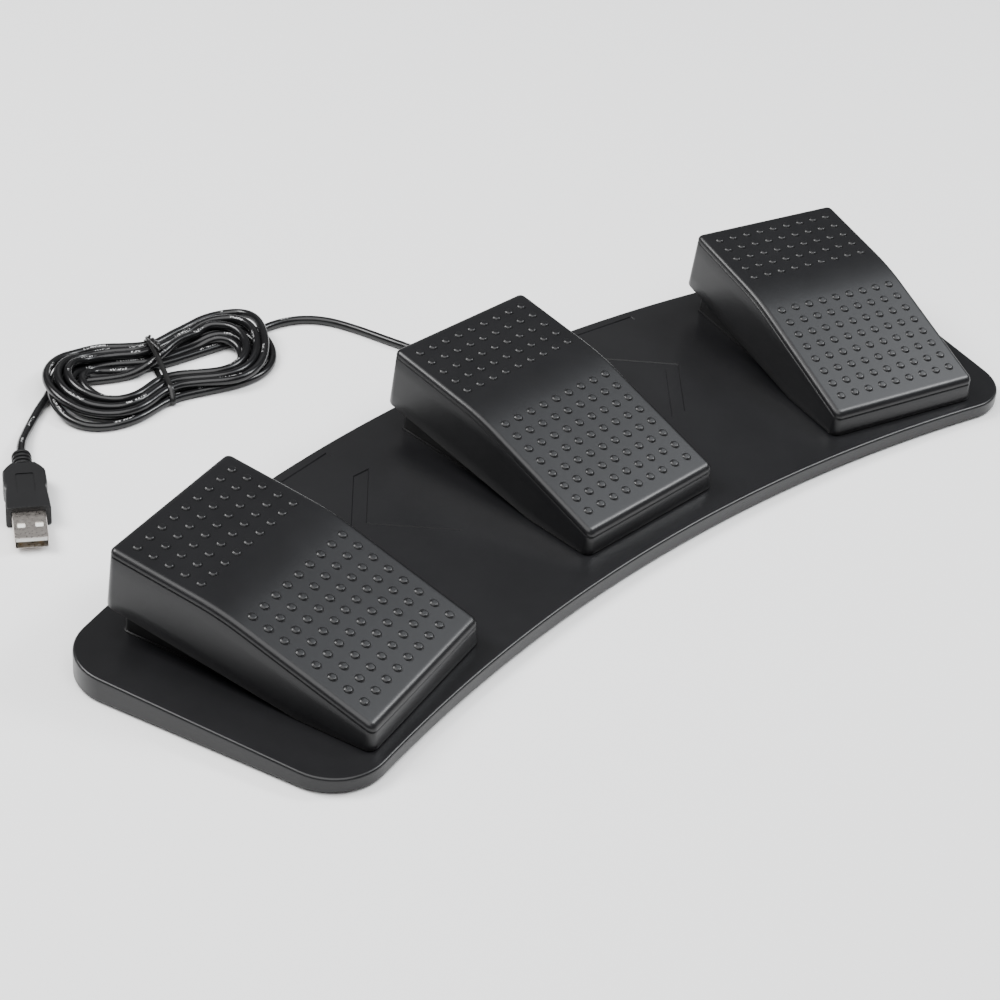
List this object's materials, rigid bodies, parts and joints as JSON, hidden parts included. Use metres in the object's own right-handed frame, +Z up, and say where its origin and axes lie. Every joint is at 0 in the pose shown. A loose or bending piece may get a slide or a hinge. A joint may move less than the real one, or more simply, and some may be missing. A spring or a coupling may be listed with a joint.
{
  "type": "triple foot switch",
  "caption": "Three-pedal foot switch: a low curved base with sprung rocker pedals over lever microswitches, and a hanked lead with a USB plug.",
  "frame": {"origin": "on the floor, under the centre of the base's bounding box, lead and plug left out", "axes": "+X to the user's right, +Y away from the user to the rear edge, +Z up"},
  "size_m": [0.4194, 0.2618, 0.0466],
  "materials": {
    "black_abs": "satin, fine spark-eroded texture",
    "cover_abs": "satin",
    "inner_abs": "satin",
    "foot_rubber": "matte",
    "screw_steel": "zinc plated",
    "plate_steel": "rolled, zinc plated",
    "shaft_steel": "ground",
    "spring_steel": "drawn wire",
    "switch_case": "semi-gloss",
    "lever_steel": "stamped",
    "button_red": "gloss",
    "terminal_brass": "tinned brass",
    "wire_pvc": "soft gloss",
    "board_green": "solder mask",
    "board_parts": "moulded",
    "lead_pvc": "satin PVC jacket",
    "moulded_pvc": "satin moulded PVC",
    "tie_plastic": "soft gloss",
    "plug_nickel": "nickel plated",
    "tongue_plastic": "satin",
    "contact_gold": "gold plated"
  },
  "bodies": {
    "base": {"base_shell": "black_abs", "base_cover": "cover_abs", "rubber_feet": "foot_rubber", "cover_screws": "screw_steel", "housing_screws": "screw_steel", "left_ballast_plate": "plate_steel", "right_ballast_plate": "plate_steel", "left_housing": "inner_abs", "middle_housing": "inner_abs", "right_housing": "inner_abs", "left_hinge_shaft": "shaft_steel", "middle_hinge_shaft": "shaft_steel", "right_hinge_shaft": "shaft_steel", "left_return_spring": "spring_steel", "middle_return_spring": "spring_steel", "right_return_spring": "spring_steel", "left_microswitch": "switch_case", "middle_microswitch": "switch_case", "right_microswitch": "switch_case", "left_switch_terminals": "terminal_brass", "middle_switch_terminals": "terminal_brass", "right_switch_terminals": "terminal_brass", "left_switch_screws": "screw_steel", "middle_switch_screws": "screw_steel", "right_switch_screws": "screw_steel", "left_switch_wires": "wire_pvc", "middle_switch_wires": "wire_pvc", "right_switch_wires": "wire_pvc", "controller_board": "board_green", "board_parts": "board_parts", "board_screws": "screw_steel", "lead_tail": "lead_pvc", "lead_clamp": "inner_abs", "clamp_screws": "screw_steel", "strain_relief": "moulded_pvc", "lead_run": "lead_pvc", "lead_hank": "lead_pvc", "hank_tie": "tie_plastic", "plug_run": "lead_pvc", "plug_overmould": "moulded_pvc", "plug_shell": "plug_nickel", "plug_tongue": "tongue_plastic", "plug_contacts": "contact_gold"},
    "left_pedal": {"left_pedal": "black_abs"},
    "left_lever": {"left_switch_lever": "lever_steel"},
    "left_button": {"left_switch_button": "button_red"},
    "middle_pedal": {"middle_pedal": "black_abs"},
    "middle_lever": {"middle_switch_lever": "lever_steel"},
    "middle_button": {"middle_switch_button": "button_red"},
    "right_pedal": {"right_pedal": "black_abs"},
    "right_lever": {"right_switch_lever": "lever_steel"},
    "right_button": {"right_switch_button": "button_red"}
  },
  "joints": [
    {"name": "left_pedal_press", "type": "hinge", "parent": "base", "child": "left_pedal", "pos_m": [-0.14028, -0.02685, 0.01644], "axis": [-0.9659, -0.2586, -0.0108], "range_deg": [0, 7.5], "stiffness_Nm_per_rad": 2.8, "springref_deg": -3.44, "deforming": ["left_return_spring"]},
    {"name": "left_lever_press", "type": "hinge", "parent": "base", "child": "left_lever", "pos_m": [-0.15154, 0.01479, 0.02619], "axis": [0.9659, 0.2586, 0.0108], "range_deg": [0, 10]},
    {"name": "left_button_press", "type": "slide", "parent": "base", "child": "left_button", "axis": [0, 0.0419, -0.9991], "range_m": [0, 0.00095]},
    {"name": "middle_pedal_press", "type": "hinge", "parent": "base", "child": "middle_pedal", "pos_m": [0, -0.0084, 0.01722], "axis": [-1, 0, 0], "range_deg": [0, 7.5], "stiffness_Nm_per_rad": 2.8, "springref_deg": -3.44, "deforming": ["middle_return_spring"]},
    {"name": "middle_lever_press", "type": "hinge", "parent": "base", "child": "middle_lever", "pos_m": [0, 0.03472, 0.02703], "axis": [1, 0, 0], "range_deg": [0, 10]},
    {"name": "middle_button_press", "type": "slide", "parent": "base", "child": "middle_button", "axis": [0, 0.0419, -0.9991], "range_m": [0, 0.00095]},
    {"name": "right_pedal_press", "type": "hinge", "parent": "base", "child": "right_pedal", "pos_m": [0.14028, -0.02685, 0.01644], "axis": [-0.9659, 0.2586, 0.0108], "range_deg": [0, 7.5], "stiffness_Nm_per_rad": 2.8, "springref_deg": -3.44, "deforming": ["right_return_spring"]},
    {"name": "right_lever_press", "type": "hinge", "parent": "base", "child": "right_lever", "pos_m": [0.15154, 0.01479, 0.02619], "axis": [0.9659, -0.2586, -0.0108], "range_deg": [0, 10]},
    {"name": "right_button_press", "type": "slide", "parent": "base", "child": "right_button", "axis": [0, 0.0419, -0.9991], "range_m": [0, 0.00095]}
  ],
  "couplings": [
    {"joint": "left_lever_press", "follows": "left_pedal_press", "ratio": 1.3},
    {"joint": "left_button_press", "follows": "left_pedal_press", "m_per_rad": 0.0069},
    {"joint": "middle_lever_press", "follows": "middle_pedal_press", "ratio": 1.3},
    {"joint": "middle_button_press", "follows": "middle_pedal_press", "m_per_rad": 0.0069},
    {"joint": "right_lever_press", "follows": "right_pedal_press", "ratio": 1.3},
    {"joint": "right_button_press", "follows": "right_pedal_press", "m_per_rad": 0.0069}
  ]
}
